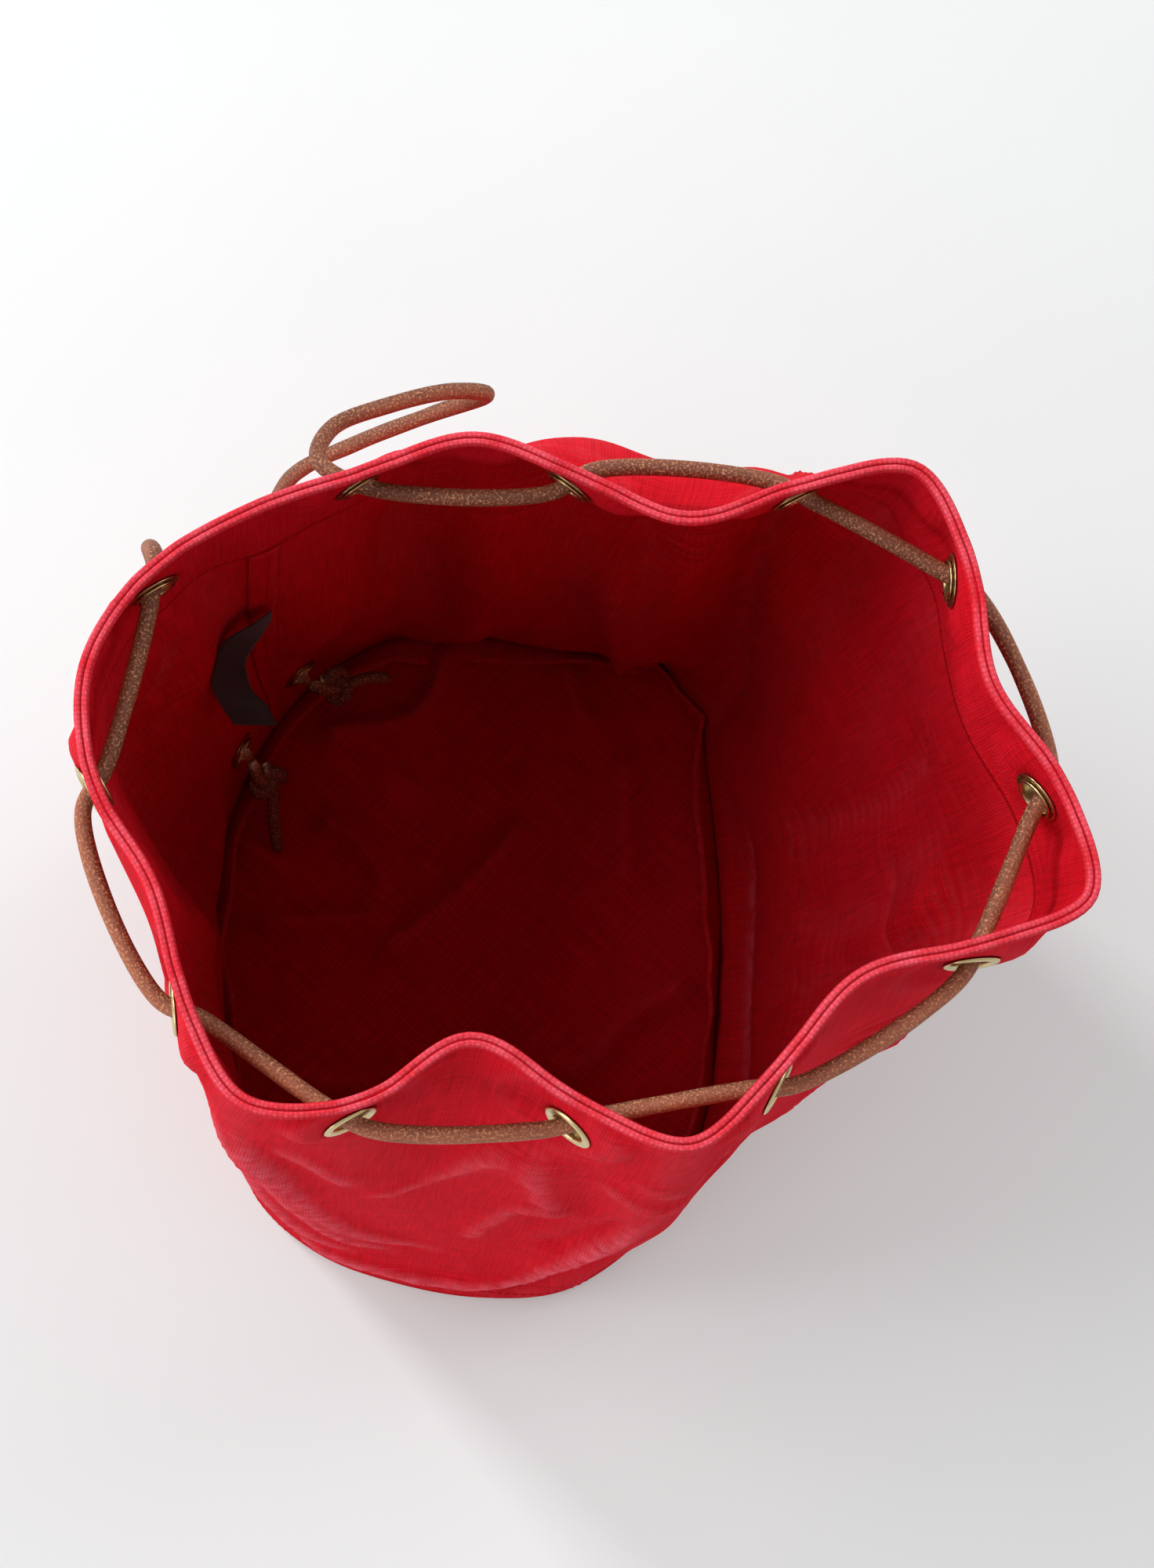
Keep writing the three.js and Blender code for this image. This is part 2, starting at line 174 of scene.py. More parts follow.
def add_cord(name, line, seed):
    """A leather lace along a line: round, a little uneven, with rounded ends."""
    chance = np.random.default_rng(seed)
    count = max(12, int(at_shares(line, [0])[1] / (1.3 * MM)))
    line, length = at_shares(line, np.linspace(0, 1, count))
    knots = np.arange(0, count + 8, 8)
    uneven = np.interp(np.arange(count), knots, chance.normal(0, 0.025, len(knots)))
    radii = cord_diameter / 2 * (1 + uneven)
    radii[:3] *= [0.35, 0.75, 0.94]
    radii[-3:] *= [0.94, 0.75, 0.35]
    sides = 20
    rings = tube(line, radii, sides)
    faces, corners = grid_faces(count, sides, True)
    step = np.array([math.pi * cord_diameter / sides, length / (count - 1)])
    # The lace was cut from a flat hide, so its grain side winds slowly round it
    wander = np.interp(np.arange(count), knots, np.cumsum(chance.normal(0, 0.16, len(knots))))
    turn = np.arange(sides) / sides * 2 * math.pi
    grain = 0.5 + 0.5 * np.cos(turn[None, :] + wander[:, None])
    ends = [np.arange(sides)[::-1].tolist(), (np.arange(sides) + (count - 1) * sides).tolist()]
    uv = np.vstack([(corners * step).reshape(-1, 2), np.zeros((2 * sides, 2))])
    piece = add_piece(name, rings.reshape(-1, 3), faces.tolist() + ends, leather, "leather", uv,
                      grain=grain.reshape(-1))
    return piece, line, length


# Vegetable-tanned leather, round-cut and waxed: brown grain on one side, paler flesh on the other,
# with darker handling marks, a low broken sheen, and pale flecks painted in as highlights glinting off fine
# fibres.
leather, tree = new_material("vegetable_tanned_leather")
place = add(tree, "ShaderNodeUVMap", uv_map="cloth").outputs["UV"]
fine = 1 / (0.9 * MM)
speckle = add(tree, "ShaderNodeTexNoise", {"Vector": place, "Scale": fine, "Detail": 3, "Roughness": 0.7})
mark_width, mark_length = 2.2 * MM, 16 * MM
long_marks = add(tree, "ShaderNodeVectorMath", {0: place, 1: (1 / mark_width, 1 / mark_length, 1)},
                 operation="MULTIPLY")
marks = add(tree, "ShaderNodeTexNoise", {"Vector": long_marks.outputs[0], "Scale": 1, "Detail": 4})
sides_of_hide = add(tree, "ShaderNodeAttribute", attribute_name="grain").outputs["Fac"]
uneven_side = add(tree, "ShaderNodeMath", {0: marks.outputs["Fac"], 1: 1.5, 2: -0.75},
                  operation="MULTIPLY_ADD")
grain_share = add(tree, "ShaderNodeMath", {0: sides_of_hide, 1: uneven_side.outputs[0]},
                  operation="ADD", use_clamp=True)
hide = add(tree, "ShaderNodeMix", {0: grain_share.outputs[0], 6: srgb("#A3573A"), 7: srgb("#66321F")},
           data_type="RGBA")
# Painted highlight: pale flecks mixed into the colour where the fine noise is high, standing in for
# glinting fibres
painted_glint = add(tree, "ShaderNodeMapRange", {0: speckle.outputs["Fac"], 1: 0.5, 2: 0.66, 3: 0, 4: 0.85})
flecked = add(tree, "ShaderNodeMix", {0: painted_glint.outputs[0], 6: hide.outputs[2], 7: srgb("#D89A6C")},
              data_type="RGBA")
dark = add(tree, "ShaderNodeMapRange", {0: marks.outputs["Fac"], 1: 0.3, 2: 0.5, 3: 0.6, 4: 1})
handled = add(tree, "ShaderNodeVectorMath", {0: flecked.outputs[2], "Scale": dark.outputs[0]},
              operation="SCALE")
rough = add(tree, "ShaderNodeMapRange", {0: speckle.outputs["Fac"], 1: 0.3, 2: 0.7, 3: 0.45, 4: 0.75})
relief = add(tree, "ShaderNodeMath", {0: marks.outputs["Fac"], 1: 0.8, 2: speckle.outputs["Fac"]},
             operation="MULTIPLY_ADD")
bump = add(tree, "ShaderNodeBump", {"Height": relief.outputs[0], "Distance": 0.5 * MM, "Strength": 1.0})
skin = add(tree, "ShaderNodeBsdfPrincipled", {
    "Base Color": handled.outputs[0], "Roughness": rough.outputs[0], "IOR": 1.48,
    "Normal": bump.outputs[0]})
add(tree, "ShaderNodeOutputMaterial", {"Surface": skin.outputs[0]})

cord, cord_line, cord_length = add_cord("leather_cord", curve_through(cord_route), 3)
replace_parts(cord, "strap_left", "mouth_cord", "strap_right")

# Knots of the cord
# Inside the bag each end of the lace is tied in an overhand knot that can't pass the eyelet.
# A short tail is left over, bent down towards the base.
knot_tails = {
    "left": np.array([[-15, 128, 36], [-21, 123, 30], [-27, 118, 22], [-32, 112, 15]]) * MM,
    "right": np.array([[38, 133, 41], [44, 130, 41], [49, 126, 40], [53, 121, 38]]) * MM,
}
knot_turns = np.linspace(math.pi + 0.5, 3 * math.pi - 0.5, 26)
knot_form = 0.44 * cord_diameter * np.stack([
    np.sin(knot_turns) + 2 * np.sin(2 * knot_turns),
    np.cos(knot_turns) - 2 * np.cos(2 * knot_turns),
    -np.sin(3 * knot_turns)], axis=1)
for which, tail, end, seed in (("left", knot_tails["left"], 0, 5), ("right", knot_tails["right"], -1, 6)):
    joint = cord_route[end]
    way = tail[0] - joint
    way /= np.linalg.norm(way)
    flat = np.cross(way, [0, 0, 1])
    flat /= np.linalg.norm(flat)
    spread = np.stack([flat, way, np.cross(flat, way)])
    middle = joint + way * 2.1 * cord_diameter
    line = curve_through(np.vstack([joint[None], middle + knot_form @ spread, tail]), steps=10)
    knot = add_cord(f"leather_knot_{which}", line, seed)[0]
    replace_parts(knot, f"knot_{which}")

# Canvas wall
# One length of heavy plain-weave cotton, dyed red, closed to a tube by the back seam.
# It stands on the base by its own stiffness, and waves in and out where the cord pulls the mouth.
girth = 840 * MM
height = 380 * MM
canvas_thickness = 0.9 * MM
layer_gap = 0.3 * MM
wave_fade = 2.2
base_outline = np.array([
    [6, 152], [-60, 124], [-113, 72], [-147, 13], [-129, -52], [-84, -102],
    [-16, -105], [43, -70], [95, -24], [135, 32], [112, 89], [68, 143]]) * MM
mouth_outline = np.array([
    [11, 106], [-23, 116], [-56, 110], [-80, 85], [-91, 52], [-109, 23],
    [-119, -9], [-97, -35], [-65, -46], [-59, -79], [-47, -111], [-14, -116],
    [20, -117], [49, -137], [80, -151], [101, -124], [111, -91], [134, -65],
    [147, -33], [121, -10], [92, 8], [82, 39], [70, 71], [41, 89]]) * MM
calm_mouth = sum(
    share / 4 * np.roll(mouth_outline, 2 - k, axis=0) for k, share in enumerate([0.5, 1, 1, 1, 0.5]))
floor_line = curve_through(base_outline, True, 100)
floor_print = at_shares(np.vstack([floor_line, floor_line[:1]]), np.arange(24) / 24)[0]
columns = 312
rows = 141


def cloth_ring(rise):
    """The cloth's outline at a share of the height, once round the full girth from the back seam."""
    waves = (mouth_outline - calm_mouth) * rise ** wave_fade
    points = floor_print + (calm_mouth - floor_print) * rise + waves
    line = curve_through(points, True)
    line = np.vstack([line, line[:1]])
    middle = points.mean(axis=0)
    ring, length = at_shares(line, np.arange(columns) / columns)
    return middle + (ring - middle) * girth / length


def outward(grid):
    """The outward direction at each point of a wall of cloth that is closed round the bag."""
    along = np.roll(grid, -1, axis=1) - np.roll(grid, 1, axis=1)
    rising = np.gradient(grid, axis=0)
    normal = np.cross(along, rising)
    return normal / np.linalg.norm(normal, axis=2)[:, :, None]


def smooth_step(share):
    """A share from 0 to 1 that starts and ends gently."""
    share = np.clip(share, 0, 1)
    return share * share * (3 - 2 * share)


around = np.arange(columns) / columns * girth
heights = np.linspace(0, height, rows)
wall = np.stack([np.column_stack([cloth_ring(h / height), np.full(columns, h)]) for h in heights])

# Folds that the cloth has taken: a line in mm round and up, how far it stands out or in, how far
# it reaches to each side, and how much its crest is rubbed pale
wall_folds = [
    # the crease over the base at the front, and the tuck under it
    ([[214, 96], [236, 66], [262, 50], [296, 40], [324, 50], [338, 110], [350, 180], [358, 246]],
     6.5, 8, 1),
    ([[210, 44], [250, 22], [296, 14], [330, 22], [348, 70]], -10, 12, 0),
    # drag lines from the front left, which run out into that crease
    ([[198, 330], [215, 290], [224, 170], [236, 104], [262, 62]], 4, 6, 0.9),
    ([[212, 330], [224, 280], [234, 188], [250, 120], [280, 70]], 3.6, 6, 0.8),
    ([[217, 318], [229, 262], [243, 178], [262, 120], [300, 84]], 3.4, 6, 0.7),
    ([[226, 320], [242, 280], [256, 248]], 3, 6, 0.45),
    ([[255, 214], [280, 240], [294, 284], [303, 320]], 3.4, 7, 0.35),
    # the front's upright ridge, and short folds under it
    ([[309, 330], [313, 278], [320, 234], [334, 190]], 7, 12, 0.3),
    ([[298, 120], [308, 180], [320, 232]], 3.6, 7, 0.3),
    ([[330, 120], [342, 170], [352, 230]], -5, 8, 0),
    ([[330, 300], [350, 270], [372, 262]], 3.6, 7, 0.2),
    ([[340, 320], [362, 298], [384, 300]], 3, 7, 0.15),
    ([[366, 316], [388, 250], [400, 170]], -5, 14, 0),
    # the corner behind on the right, and the fold that turns in from it to the base
    ([[660, 345], [654, 270], [648, 200], [640, 130], [627, 50], [616, -20]], 15, 9, 0.15),
    ([[700, 230], [692, 150], [676, 70], [664, 10], [660, -20]], -12, 8, 0.3),
    ([[654, 20], [668, 110], [676, 190], [684, 280]], -14, 17, 0),
    # soft corners and hollows of the back and the left
    ([[780, 320], [786, 220], [800, 140], [818, 50]], 10, 15, 0.1),
    ([[748, 300], [736, 170], [744, 60]], -8, 24, 0),
    ([[60, 280], [84, 170], [88, 60]], 9, 20, 0.1),
    ([[112, 310], [122, 200], [110, 80]], -8, 18, 0),
    ([[150, 260], [158, 150], [176, 60]], 8, 15, 0.25),
    ([[30, 300], [44, 262], [74, 240]], 3.5, 7, 0.1),
    ([[18, 262], [40, 226], [66, 210]], -3.5, 7, 0),
    ([[100, 180], [130, 150], [150, 104]], 4, 9, 0.1),
    ([[96, 60], [130, 34], [170, 30], [206, 44]], 6, 9, 0.6),
    ([[446, 320], [452, 190], [438, 70]], 9, 17, 0),
    ([[508, 270], [500, 160], [512, 60]], -8, 17, 0),
    ([[556, 300], [548, 190], [560, 70]], 8, 15, 0),
    ([[470, 220], [500, 190], [534, 200]], 4, 9, 0.1),
    ([[420, 60], [470, 30], [530, 26], [580, 40]], 6, 10, 0.5),
]
# The seam of the base and the facing of the mouth hold the cloth smooth
stiff_hem = 40 * MM
free_of_base = smooth_step((heights - 2 * MM) / (16 * MM))
free_of_hem = smooth_step((height - stiff_hem - heights) / (20 * MM))
free_up = free_of_base * free_of_hem
fold_sharpness = 1.4
rub_reach = 5.5 * MM
fold_wear = np.zeros((rows, columns))
wall_normal = outward(wall)
rumple = np.zeros((rows, columns))
for line, stand, reach, rubbed in wall_folds:
    line = curve_through(np.array(line, float), steps=12) * MM
    off = np.full((rows, columns), np.inf)
    along_fold = np.zeros((rows, columns))
    for k, (across, up) in enumerate(line):
        off_round = (around - across + girth / 2) % girth - girth / 2
        distance = np.hypot(off_round[None, :], heights[:, None] - up)
        nearer = distance < off
        off = np.where(nearer, distance, off)
        along_fold = np.where(nearer, k / (len(line) - 1), along_fold)
    ends = smooth_step(along_fold / 0.2) * smooth_step((1 - along_fold) / 0.2)
    rumple += stand * MM * np.exp(-(off / (reach * MM)) ** fold_sharpness) * ends
    fold_wear = np.maximum(fold_wear, rubbed * ends * np.clip(1 - off / rub_reach, 0, 1))
wall += wall_normal * (rumple * free_up[:, None])[:, :, None]

# The base has a sharp corner behind on the right, and the wall follows it upwards for a while
corner_out = 8 * MM * np.interp(around / MM, [638, 656, 676], [0, 1, 0])
corner_up = 1 - smooth_step(heights / (130 * MM))
wall += wall_normal * (corner_up[:, None] * corner_out[None, :])[:, :, None] * [1, 1, 0]

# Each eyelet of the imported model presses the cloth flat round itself
eyelet_drop = 21 * MM
strap_eyelet_height = 50 * MM
strap_eyelet_offset = 21 * MM
seats = {}
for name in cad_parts:
    if "eyelet" not in name or name.endswith("_washer"):
        continue
    shell, washer = (
        np.unique(np.round([v.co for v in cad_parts[n].data.vertices], 6), axis=0).mean(axis=0)
        for n in (name, f"{name}_washer"))
    axis = (shell - washer) / np.linalg.norm(shell - washer)
    if name.startswith("mouth"):
        layers, place_up = 2, height - eyelet_drop
        place_round = (int(name.split("_")[-1]) - 0.5) * girth / 12
    else:
        layers, place_up = 1, strap_eyelet_height
        place_round = strap_eyelet_offset if name.endswith("left") else girth - strap_eyelet_offset
    cloth_depth = layers * canvas_thickness + (layers - 1) * layer_gap
    seats[name] = {"centre": washer + axis * (cloth_depth + 2 * layer_gap), "axis": axis,
                   "depth": cloth_depth, "round": place_round, "up": place_up}
flat_reach, fade_reach = 9.5 * MM, 24 * MM


def from_seat(seat, ups):
    """How far each point of the cloth is from an eyelet's middle, round and up."""
    off_round = (around - seat["round"] + girth / 2) % girth - girth / 2
    return np.broadcast_arrays(off_round[None, :], (ups - seat["up"])[:, None])


def press_flat(grid):
    """Presses the cloth flat round every eyelet."""
    for seat in seats.values():
        side = np.cross([0, 0, 1], seat["axis"])
        side /= np.linalg.norm(side)
        rise = np.cross(seat["axis"], side)
        off_round, off_up = from_seat(seat, heights)
        nearness = (fade_reach - np.hypot(off_round, off_up)) / (fade_reach - flat_reach)
        hold = smooth_step(nearness)[:, :, None]
        plane = seat["centre"] + off_round[:, :, None] * side + off_up[:, :, None] * rise
        grid = grid * (1 - hold) + plane * hold
    return grid


wall = press_flat(wall)


def drape(grid, cut, faces, held, weight, frames, stiffness):
    """Lets cloth settle that was cut to another shape than it is sewn in, held where it is sewn."""
    mesh = bpy.data.meshes.new("draping")
    mesh.from_pydata(grid.reshape(-1, 3).tolist(), [], faces.tolist())
    cloth = bpy.data.objects.new("draping", mesh)
    bpy.context.scene.collection.objects.link(cloth)
    cloth.shape_key_add(name="sewn")
    cloth.shape_key_add(name="cut").data.foreach_set("co", cut.reshape(-1))
    group = cloth.vertex_groups.new(name="held")
    for level in np.unique(held[held > 0]):
        group.add(np.flatnonzero(held == level).tolist(), float(level), "REPLACE")
    settings = cloth.modifiers.new("cloth", "CLOTH").settings
    settings.quality = 6
    settings.mass = 0.5
    settings.vertex_group_mass = "held"
    settings.rest_shape_key = cloth.data.shape_keys.key_blocks["cut"]
    settings.tension_stiffness = settings.compression_stiffness = 40
    settings.shear_stiffness = 25
    settings.bending_stiffness = stiffness
    settings.air_damping = 4
    settings.effector_weights.gravity = weight
    cloth.modifiers["cloth"].point_cache.frame_end = frames
    for number in range(1, frames + 1):
        bpy.context.scene.frame_set(number)
    shape = cloth.evaluated_get(bpy.context.evaluated_depsgraph_get()).data
    points = np.empty(len(shape.vertices) * 3)
    shape.vertices.foreach_get("co", points)
    bpy.context.scene.frame_set(1)
    bpy.data.objects.remove(cloth)
    return points.reshape(grid.shape)


# The wall is cut a little longer and wider than it stands, and is held at the base, the hem and
# the eyelets. The rest sags, which makes the bulge above the base and the soft wrinkles.
# The settling is worked out on every second thread of the grid, and the moves are spread smoothly.
held = np.zeros((rows, columns))
held[heights > height - 44 * MM] = 0.15
held[heights > height - 9 * MM] = 1
held[0] = 1
for seat in seats.values():
    held[np.hypot(*from_seat(seat, heights)) < flat_reach + 2 * MM] = 1
sewn = wall[::2, ::2]
centre = sewn.mean(axis=(0, 1))
slack = [1.008, 1.008, 1.035]
cut = centre + (sewn - centre) * slack
coarse_faces = grid_faces(sewn.shape[0], sewn.shape[1], True)[0]
coarse_held = held[::2, ::2].reshape(-1)
settled = drape(sewn, cut, coarse_faces, coarse_held, weight=0.35, frames=36, stiffness=9)
moved = settled - sewn
spread = np.repeat(np.repeat(moved, 2, axis=0), 2, axis=1)[:rows]
for _ in range(3):
    spread = (np.roll(spread, 1, axis=1) + 2 * spread + np.roll(spread, -1, axis=1)) / 4
    spread[1:-1] = (spread[:-2] + 2 * spread[1:-1] + spread[2:]) / 4
wall = wall + spread

# The cord pulls the mouth in at the back on the right, and the cloth billows out under it
billow = 24 * MM
billow_round = np.interp(around / MM, [622, 652, 680, 722, 745, 792], [0, 0.45, 0.95, 1, 0.75, 0])
billow_up = np.interp(heights / MM, [0, 90, 200, 300, 322, 338, 352], [0, 0.1, 0.4, 0.95, 1, 0.55, 0])
for _ in range(6):
    billow_round = (np.roll(billow_round, 1) + 2 * billow_round + np.roll(billow_round, -1)) / 4
    billow_up[1:-1] = (billow_up[:-2] + 2 * billow_up[1:-1] + billow_up[2:]) / 4
from_middle = wall[:, :, :2] / np.linalg.norm(wall[:, :, :2], axis=2)[:, :, None]
wall[:, :, :2] += billow * (billow_up[:, None] * billow_round[None, :])[:, :, None] * from_middle

wall[:, :, 2] = np.maximum(wall[:, :, 2], 1 * MM)
wall = press_flat(wall)

# Heavy cotton canvas, plain weave: each crossing of two threads is a small bump, darker in the hollows as
# painted shade, the yarn is uneven, and light passes through one layer. The dye is worn off pink along
# ridges and edges.
# The thread spacing is 0.7 mm; it is drawn a little coarser so that it shows in the render.
thread_spacing = 0.95 * MM
canvas, tree = new_material("cotton_canvas")
place = add(tree, "ShaderNodeUVMap", uv_map="cloth").outputs["UV"]
drift = add(tree, "ShaderNodeTexNoise", {"Vector": place, "Scale": 1 / (4 * MM), "Detail": 2},
            noise_dimensions="2D")
sway = add(tree, "ShaderNodeVectorMath", {0: drift.outputs["Color"], 1: (0.7 * MM,) * 3, 2: place},
           operation="MULTIPLY_ADD")
turns = add(tree, "ShaderNodeVectorMath", {0: sway.outputs[0], "Scale": math.pi / thread_spacing},
            operation="SCALE")
waves = add(tree, "ShaderNodeVectorMath", {0: turns.outputs[0]}, operation="SINE")
threads = add(tree, "ShaderNodeSeparateXYZ", {0: waves.outputs[0]})
over = add(tree, "ShaderNodeMath", {0: threads.outputs[0], 1: threads.outputs[1]}, operation="MULTIPLY")
crossing = add(tree, "ShaderNodeMath", {0: over.outputs[0]}, operation="ABSOLUTE")
weave = add(tree, "ShaderNodeMath", {0: over.outputs[0], 1: 0.3, 2: crossing.outputs[0]},
            operation="MULTIPLY_ADD")
yarn_length = 26 * MM
weft_way = add(tree, "ShaderNodeVectorMath", {0: place, 1: (1 / yarn_length, 1 / thread_spacing, 1)},
               operation="MULTIPLY")
warp_way = add(tree, "ShaderNodeVectorMath", {0: place, 1: (1 / thread_spacing, 1 / yarn_length, 1)},
               operation="MULTIPLY")
weft_slub = add(tree, "ShaderNodeTexNoise", {"Vector": weft_way.outputs[0], "Scale": 1, "Detail": 2})
warp_slub = add(tree, "ShaderNodeTexNoise", {"Vector": warp_way.outputs[0], "Scale": 1, "Detail": 2})
slub = add(tree, "ShaderNodeMath", {0: weft_slub.outputs["Fac"], 1: warp_slub.outputs["Fac"]},
           operation="ADD")
faded = add(tree, "ShaderNodeTexNoise", {
    "Vector": place, "Scale": 1 / (60 * MM), "Detail": 5, "Roughness": 0.6})
red = add(tree, "ShaderNodeMix", {0: faded.outputs["Fac"], 6: srgb("#C40E1C"), 7: srgb("#D41726")},
          data_type="RGBA")
# Painted shade: the red is darkened where the weave is low, between thread crossings, and lightened a
# little on the crossings
painted_weave_shade = add(tree, "ShaderNodeMapRange", {0: weave.outputs[0], 1: 0, 2: 1, 3: 0.82, 4: 1.06})
yarn_shade = add(tree, "ShaderNodeMapRange", {0: slub.outputs[0], 1: 0.7, 2: 1.3, 3: 0.76, 4: 1.2})
weave_shade_and_yarn_tone = add(tree, "ShaderNodeMath", {0: painted_weave_shade.outputs[0], 1: yarn_shade.outputs[0]},
            operation="MULTIPLY")
dye_and_painted_weave_shade = add(tree, "ShaderNodeVectorMath", {0: red.outputs[2], "Scale": weave_shade_and_yarn_tone.outputs[0]}, operation="SCALE")
rubbed = add(tree, "ShaderNodeAttribute", attribute_name="wear").outputs["Fac"]
patchy = add(tree, "ShaderNodeTexNoise", {"Vector": place, "Scale": 1 / (7 * MM), "Detail": 4})
patches = add(tree, "ShaderNodeMapRange", {0: patchy.outputs["Fac"], 1: 0.34, 2: 0.62, 3: 0.35, 4: 1.15})
tops = add(tree, "ShaderNodeMapRange", {0: weave.outputs[0], 1: 0.2, 2: 0.9, 3: 0.5, 4: 1})
rubbed_tops = add(tree, "ShaderNodeMath", {0: patches.outputs[0], 1: tops.outputs[0]}, operation="MULTIPLY")
worn = add(tree, "ShaderNodeMath", {0: rubbed, 1: rubbed_tops.outputs[0]},
           operation="MULTIPLY", use_clamp=True)
colour = add(tree, "ShaderNodeMix", {0: worn.outputs[0], 6: dye_and_painted_weave_shade.outputs[0], 7: srgb("#F07A8C")},
             data_type="RGBA")
relief = add(tree, "ShaderNodeMath", {0: slub.outputs[0], 1: 0.5, 2: weave.outputs[0]},
             operation="MULTIPLY_ADD")
bump = add(tree, "ShaderNodeBump", {"Height": relief.outputs[0], "Distance": 0.2 * MM, "Strength": 0.6})
cotton = add(tree, "ShaderNodeBsdfPrincipled", {
    "Base Color": colour.outputs[2], "Roughness": 0.9, "Specular IOR Level": 0.03,
    "Normal": bump.outputs[0], "Subsurface Weight": 0.65, "Subsurface Radius": (1.0, 0.1, 0.1),
    "Subsurface Scale": 1.0 * MM})
add(tree, "ShaderNodeOutputMaterial", {"Surface": cotton.outputs[0]})

hole_radius = 6.4 * MM
cell = np.array([girth / columns, heights[1] - heights[0]])


def add_cloth(name, grid, low, wear, holes):
    """A wall of canvas from a grid of points, with holes for the eyelets and its own thickness."""
    count = len(grid)
    faces, corners = grid_faces(count, columns, True)
    points = grid.reshape(-1, 3).copy()
    gone = np.zeros(len(points), bool)
    for seat in holes:
        off = np.hypot(*from_seat(seat, heights[low:low + count])).reshape(-1)
        inside = off < hole_radius
        gone |= inside
        edge = np.unique(faces[inside[faces].any(axis=1)])
        edge = edge[~inside[edge]]
        points[edge] -= (1 - hole_radius / off[edge])[:, None] * (points[edge] - points[np.argmin(off)])
    kept = ~gone[faces].any(axis=1)
    uv = (corners[kept] + [0, low]) * cell
    used = np.unique(faces[kept])
    renumber = np.zeros(len(points), int)
    renumber[used] = np.arange(len(used))
    piece = add_piece(name, points[used], renumber[faces[kept]], canvas, "canvas", uv,
                      wear=wear.reshape(-1)[used])
    solid = piece.modifiers.new("thickness", "SOLIDIFY")
    solid.thickness = canvas_thickness
    solid.offset = -1
    return piece


def ridge_wear(grid, normal):
    """How far the cloth stands out in ridges, as wear from 0 to 1."""
    beside = (np.roll(grid, 2, axis=1) + np.roll(grid, -2, axis=1)) / 2
    over_under = (np.roll(grid, 2, axis=0) + np.roll(grid, -2, axis=0)) / 2
    over_under[[0, 1, -2, -1]] = grid[[0, 1, -2, -1]]
    out = ((2 * grid - beside - over_under) * normal).sum(axis=2)
    return np.clip(out / (1.2 * MM), 0, 1)


wall_normal = outward(wall)
wall_wear = np.clip(fold_wear * 0.6 + 0.1 * ridge_wear(wall, wall_normal), 0, 1)
body = add_cloth("canvas_wall", wall, 0, wall_wear, list(seats.values()))
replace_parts(body, "body_wall")

# Facing and hem of the mouth
# A band of the same canvas is sewn inside the mouth. Both edges are turned in and meet at the top,
# so the edge of the mouth is two rounded ridges with a groove between them, rubbed pale.
facing_depth = 48 * MM
facing_rows = int(round(facing_depth / cell[1])) + 1
inset = canvas_thickness + layer_gap
facing_grid = wall[-facing_rows:] - wall_normal[-facing_rows:] * inset
facing = add_cloth("mouth_facing_band", facing_grid, rows - facing_rows, np.zeros(facing_grid.shape[:2]),
                   [seat for name, seat in seats.items() if name.startswith("mouth")])
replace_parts(facing, "mouth_facing")
ridge_width, ridge_height, ridge_pitch = 2.3 * MM, 3.6 * MM, 2.15 * MM
edge_out = np.cross(np.roll(wall[-1], -1, axis=0) - np.roll(wall[-1], 1, axis=0), [0, 0, 1])
edge_out /= np.linalg.norm(edge_out, axis=1)[:, None]
ridge_turn = np.arange(16) / 16 * 2 * math.pi
# The weave on the narrow ridges is drawn coarser still, because its rubbed dots show there
hem_weave = 0.65
for name, shift in (("wall_hem", 0.0), ("facing_hem", -ridge_pitch)):
    across = shift + ridge_width / 2 * np.cos(ridge_turn) - canvas_thickness / 2
    upward = ridge_height / 2 * np.sin(ridge_turn) - ridge_height / 2 + 0.8 * MM
    rings = (wall[-1][:, None] + across[None, :, None] * edge_out[:, None]
             + upward[None, :, None] * np.array([0, 0, 1]))
    faces, corners = grid_faces(columns + 1, len(ridge_turn), True)
    faces %= columns * len(ridge_turn)
    uv = corners[:, :, ::-1] * [hem_weave * cell[0], hem_weave * 0.6 * MM]
    wear = 0.1 + 0.5 * np.clip(np.sin(ridge_turn), 0, 1) ** 2
    hem = add_piece(name, rings.reshape(-1, 3), faces[:, ::-1], canvas, "canvas",
                    uv[:, ::-1], wear=np.tile(wear, columns))

# Stitches
# Rows of lockstitch in red polyester thread hold the facing and the base seam.
# Each stitch is a short thread that dives into the cloth at both ends.
def on_wall(across, up, out):
    """Points at places round and up the wall, moved out from its outer face."""
    column = np.asarray(across) / cell[0] % columns
    row = np.clip(np.asarray(up) / cell[1], 0, rows - 1.001)
    i, j = np.floor(column).astype(int), np.floor(row).astype(int)
    s, t = (column - i)[..., None], (row - j)[..., None]
    k = (i + 1) % columns
    i %= columns
    mix = []
    for grid in (wall, wall_normal):
        below = grid[j, i] * (1 - s) + grid[j, k] * s
        above = grid[j + 1, i] * (1 - s) + grid[j + 1, k] * s
        mix.append(below * (1 - t) + above * t)
    return mix[0] + mix[1] * np.asarray(out)[..., None]


# Spun polyester thread: two plies twisted together, so each stitch has slanting ridges, painted lighter on
# their crests and darker in their grooves as light and shade, and a dull shine.
thread, tree = new_material("polyester_thread")
place = add(tree, "ShaderNodeUVMap", uv_map="cloth").outputs["UV"]
ply = add(tree, "ShaderNodeTexWave", {"Vector": place, "Scale": 0.32 / (0.5 * MM)},
          bands_direction="DIAGONAL")
